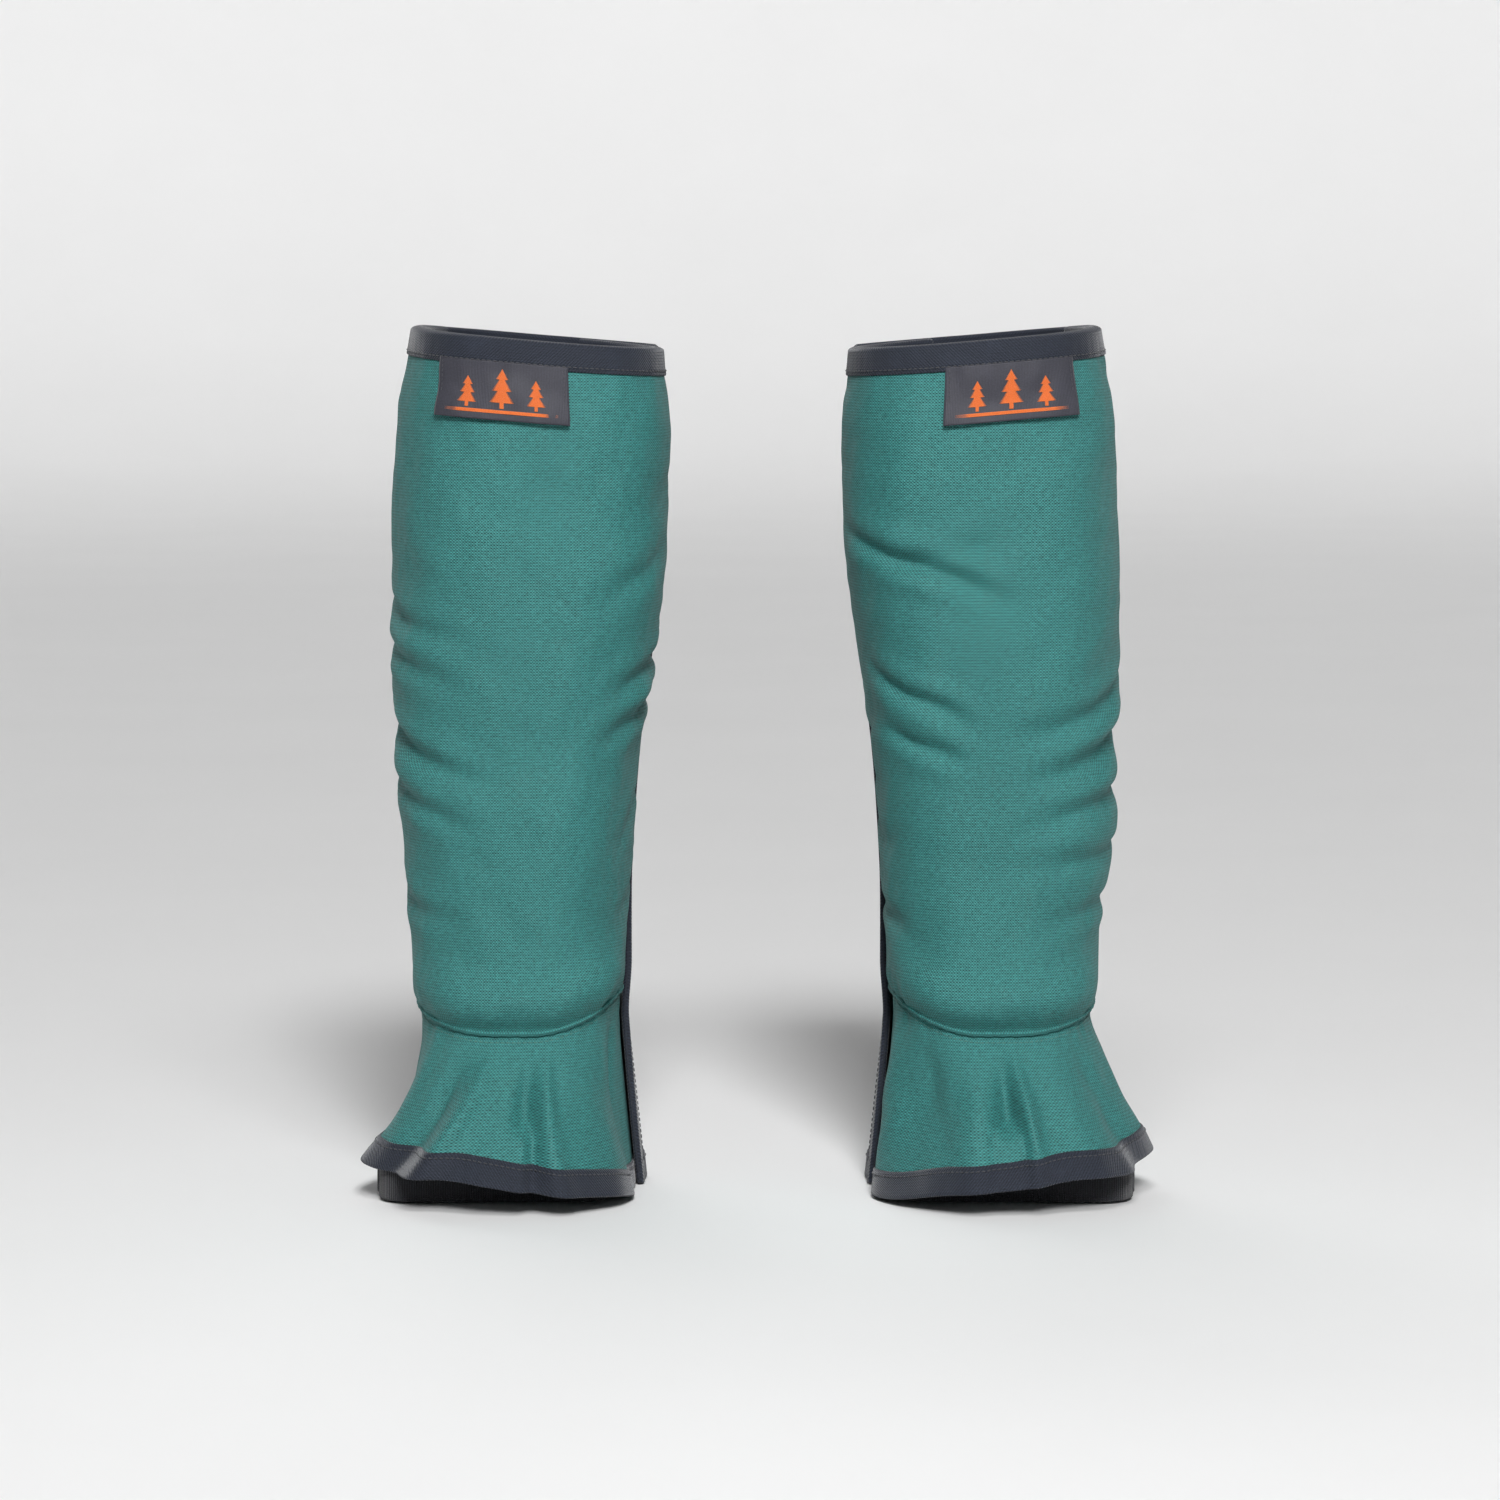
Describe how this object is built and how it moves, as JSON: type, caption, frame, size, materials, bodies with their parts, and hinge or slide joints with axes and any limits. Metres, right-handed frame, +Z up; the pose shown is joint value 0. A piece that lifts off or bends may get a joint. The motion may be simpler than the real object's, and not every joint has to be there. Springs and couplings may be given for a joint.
{
  "type": "chainsaw gaiters",
  "caption": "Pair of green padded chainsaw gaiters with flared boot covers, black back flaps, cinch straps and underfoot straps.",
  "frame": {"origin": "centre of the bottom of the pair's box, on the floor under both hems", "axes": "+Z up along the legs, front faces -Y, the wearer's left gaiter is at +X"},
  "size_m": [0.4452, 0.2036, 0.476],
  "materials": {
    "green_fabric": "plain-weave coated polyester, soft sheen",
    "pad_fibre": "matt knitted and felted protective fibre",
    "lining_fabric": "matt woven lining",
    "black_tape": "twill binding tape",
    "label_cloth": "fine woven label",
    "hook_and_loop": "matt hook-and-loop tape",
    "black_fabric": "plain-weave coated nylon",
    "black_webbing": "ribbed webbing",
    "buckle_plastic": "moulded acetal, fine texture",
    "hook_steel": "zinc-plated wire form"
  },
  "bodies": {
    "left_front": {"left_front_shell": "green_fabric", "left_cut_pad_knit": "pad_fibre", "left_cut_pad_felt": "pad_fibre", "left_lining": "lining_fabric", "left_boot_cover": "green_fabric", "left_top_binding": "black_tape", "left_front_binding": "black_tape", "left_ankle_piping": "green_fabric", "left_woven_label": "label_cloth", "left_loop_tape": "hook_and_loop", "left_hook_tab": "black_tape"},
    "left_flap": {"left_back_panel": "black_fabric", "left_flap_binding": "black_tape", "left_hook_tape": "hook_and_loop", "left_lower_strap_fixed": "black_webbing", "left_lower_strap_adjust": "black_webbing", "left_lower_buckle_socket": "buckle_plastic", "left_middle_strap_fixed": "black_webbing", "left_middle_strap_adjust": "black_webbing", "left_middle_buckle_socket": "buckle_plastic", "left_upper_strap_fixed": "black_webbing", "left_upper_strap_adjust": "black_webbing", "left_upper_buckle_socket": "buckle_plastic"},
    "left_lower_plug": {"left_lower_buckle_plug": "buckle_plastic"},
    "left_middle_plug": {"left_middle_buckle_plug": "buckle_plastic"},
    "left_upper_plug": {"left_upper_buckle_plug": "buckle_plastic"},
    "left_underfoot": {"left_underfoot_strap": "black_webbing", "left_underfoot_buckle": "buckle_plastic", "left_underfoot_tab": "black_webbing"},
    "left_lace_hook": {"left_lace_hook": "hook_steel"},
    "right_front": {"right_front_shell": "green_fabric", "right_cut_pad_knit": "pad_fibre", "right_cut_pad_felt": "pad_fibre", "right_lining": "lining_fabric", "right_boot_cover": "green_fabric", "right_top_binding": "black_tape", "right_front_binding": "black_tape", "right_ankle_piping": "green_fabric", "right_woven_label": "label_cloth", "right_loop_tape": "hook_and_loop", "right_hook_tab": "black_tape"},
    "right_flap": {"right_back_panel": "black_fabric", "right_flap_binding": "black_tape", "right_hook_tape": "hook_and_loop", "right_lower_strap_fixed": "black_webbing", "right_lower_strap_adjust": "black_webbing", "right_lower_buckle_socket": "buckle_plastic", "right_middle_strap_fixed": "black_webbing", "right_middle_strap_adjust": "black_webbing", "right_middle_buckle_socket": "buckle_plastic", "right_upper_strap_fixed": "black_webbing", "right_upper_strap_adjust": "black_webbing", "right_upper_buckle_socket": "buckle_plastic"},
    "right_lower_plug": {"right_lower_buckle_plug": "buckle_plastic"},
    "right_middle_plug": {"right_middle_buckle_plug": "buckle_plastic"},
    "right_upper_plug": {"right_upper_buckle_plug": "buckle_plastic"},
    "right_underfoot": {"right_underfoot_strap": "black_webbing", "right_underfoot_buckle": "buckle_plastic", "right_underfoot_tab": "black_webbing"},
    "right_lace_hook": {"right_lace_hook": "hook_steel"}
  },
  "joints": [
    {"name": "left_flap_hinge", "type": "hinge", "parent": "left_front", "child": "left_flap", "pos_m": [0.1863, 0.06574, 0.238], "axis": [0, 0, -1], "range_deg": [0, 100]},
    {"name": "left_lower_buckle_release", "type": "slide", "parent": "left_flap", "child": "left_lower_plug", "axis": [-1, 0, 0], "range_m": [0, 0.022], "deforming": ["left_lower_strap_adjust"]},
    {"name": "left_middle_buckle_release", "type": "slide", "parent": "left_flap", "child": "left_middle_plug", "axis": [-1, 0, 0], "range_m": [0, 0.022], "deforming": ["left_middle_strap_adjust"]},
    {"name": "left_upper_buckle_release", "type": "slide", "parent": "left_flap", "child": "left_upper_plug", "axis": [-1, 0, 0], "range_m": [0, 0.022], "deforming": ["left_upper_strap_adjust"]},
    {"name": "left_underfoot_swing", "type": "hinge", "parent": "left_front", "child": "left_underfoot", "pos_m": [0.143, 0.00364, 0.011], "axis": [1, 0, 0], "range_deg": [0, 90]},
    {"name": "left_lace_hook_swing", "type": "hinge", "parent": "left_front", "child": "left_lace_hook", "pos_m": [0.129, -0.07856, 0.033], "axis": [1, 0, 0], "range_deg": [-12, 60]},
    {"name": "right_gaiter_apart", "type": "slide", "parent": "left_front", "child": "right_front", "axis": [-1, 0, 0], "range_m": [0, 0.15]},
    {"name": "right_flap_hinge", "type": "hinge", "parent": "right_front", "child": "right_flap", "pos_m": [-0.1863, 0.06574, 0.238], "axis": [0, 0, 1], "range_deg": [0, 100]},
    {"name": "right_lower_buckle_release", "type": "slide", "parent": "right_flap", "child": "right_lower_plug", "axis": [1, 0, 0], "range_m": [0, 0.022], "deforming": ["right_lower_strap_adjust"]},
    {"name": "right_middle_buckle_release", "type": "slide", "parent": "right_flap", "child": "right_middle_plug", "axis": [1, 0, 0], "range_m": [0, 0.022], "deforming": ["right_middle_strap_adjust"]},
    {"name": "right_upper_buckle_release", "type": "slide", "parent": "right_flap", "child": "right_upper_plug", "axis": [1, 0, 0], "range_m": [0, 0.022], "deforming": ["right_upper_strap_adjust"]},
    {"name": "right_underfoot_swing", "type": "hinge", "parent": "right_front", "child": "right_underfoot", "pos_m": [-0.143, 0.00364, 0.011], "axis": [1, 0, 0], "range_deg": [0, 90]},
    {"name": "right_lace_hook_swing", "type": "hinge", "parent": "right_front", "child": "right_lace_hook", "pos_m": [-0.129, -0.07856, 0.033], "axis": [1, 0, 0], "range_deg": [-12, 60]}
  ]
}
